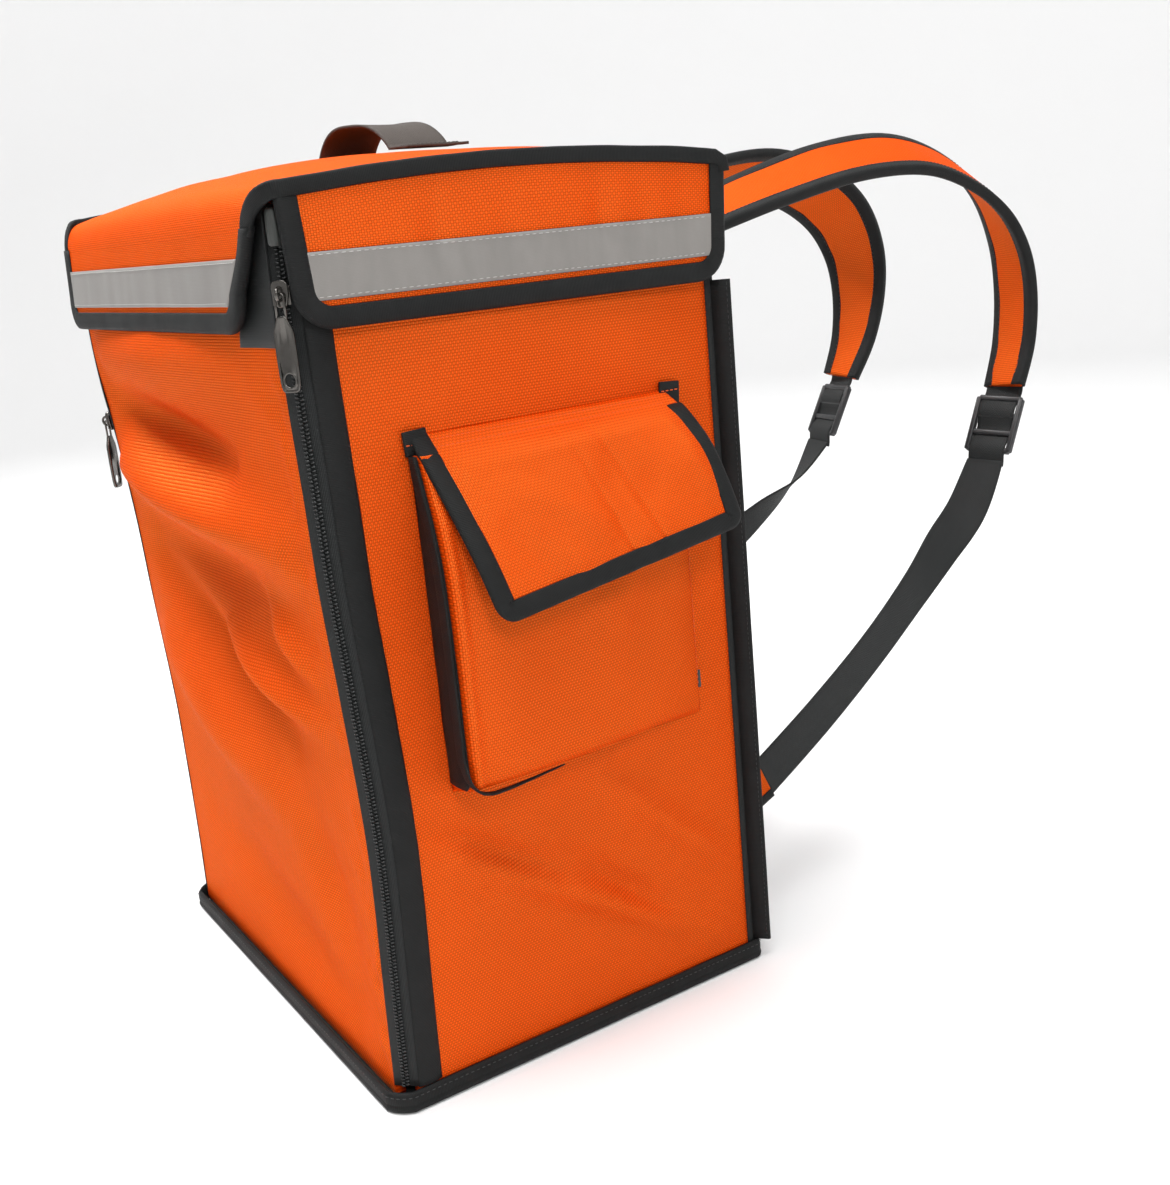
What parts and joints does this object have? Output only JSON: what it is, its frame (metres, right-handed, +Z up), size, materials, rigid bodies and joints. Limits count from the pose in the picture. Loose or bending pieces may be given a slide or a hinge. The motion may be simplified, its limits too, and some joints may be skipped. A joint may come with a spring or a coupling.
{
  "type": "insulated delivery backpack",
  "caption": "Boxy orange padded backpack for hot food, with a flapped domed lid, front corner zips, a bellows side pocket, top handle and shoulder straps.",
  "frame": {"origin": "middle of the base panel's underside, where the bag stands on the floor", "axes": "+Z up to the lid, -Y out of the zipped front, +Y out of the back towards the wearer, +X out of the side with the pocket"},
  "size_m": [0.4066, 0.656, 0.5485],
  "materials": {
    "orange_nylon": "coated orange nylon in a coarse basket weave",
    "black_cloth": "matt black coated cloth",
    "black_binding": "folded black nylon binding tape",
    "grey_reflector": "grey reflective tape, satin",
    "dark_webbing": "dark brown-black woven webbing",
    "black_zip": "black zip tape and nylon coil",
    "grey_sleeve": "ribbed dark grey sleeve",
    "dark_metal": "gunmetal plating, satin",
    "black_plastic": "moulded black plastic"
  },
  "bodies": {
    "bag": {"front_panel": "orange_nylon", "side_panel_right": "orange_nylon", "side_panel_left": "orange_nylon", "lid_panel": "orange_nylon", "lid_flap_front": "orange_nylon", "lid_flap_right": "orange_nylon", "lid_flap_left": "orange_nylon", "pocket_body": "orange_nylon", "pocket_flap": "orange_nylon", "shoulder_strap_right": "orange_nylon", "shoulder_strap_left": "orange_nylon", "strap_wing_right": "orange_nylon", "strap_wing_left": "orange_nylon", "base_panel": "black_cloth", "back_panel": "black_cloth", "base_binding": "black_binding", "back_seam_right": "black_binding", "back_seam_left": "black_binding", "corner_binding_right": "black_binding", "corner_binding_left": "black_binding", "lid_seam_right": "black_binding", "lid_seam_left": "black_binding", "flap_binding_front": "black_binding", "flap_binding_right": "black_binding", "flap_binding_left": "black_binding", "pocket_binding": "black_binding", "pocket_flap_binding": "black_binding", "pocket_tab_front": "black_binding", "pocket_tab_rear": "black_binding", "strap_binding_right_inner": "black_binding", "strap_binding_right_outer": "black_binding", "strap_binding_left_inner": "black_binding", "strap_binding_left_outer": "black_binding", "strap_yoke": "black_binding", "reflector_front": "grey_reflector", "reflector_right": "grey_reflector", "reflector_left": "grey_reflector", "top_handle": "dark_webbing", "strap_webbing_right": "dark_webbing", "strap_webbing_left": "dark_webbing", "zip_chain_right": "black_zip", "zip_chain_left": "black_zip", "zip_tape_right": "black_zip", "zip_tape_left": "black_zip", "zip_sleeve_right": "grey_sleeve", "zip_sleeve_left": "grey_sleeve", "zip_slider_right": "dark_metal", "zip_slider_left": "dark_metal", "ladder_lock_right": "black_plastic", "ladder_lock_left": "black_plastic"},
    "right_pull": {"zip_pull_right": "dark_metal"},
    "left_pull": {"zip_pull_left": "dark_metal"}
  },
  "joints": [
    {"name": "right_pull_swing", "type": "hinge", "parent": "bag", "child": "right_pull", "pos_m": [0.17449, -0.13231, 0.456], "axis": [-0.7071, -0.7071, 0], "range_deg": [0, 105]},
    {"name": "left_pull_swing", "type": "hinge", "parent": "bag", "child": "left_pull", "pos_m": [-0.17449, -0.13653, 0.372], "axis": [-0.7071, 0.7071, 0], "range_deg": [0, 150]}
  ]
}
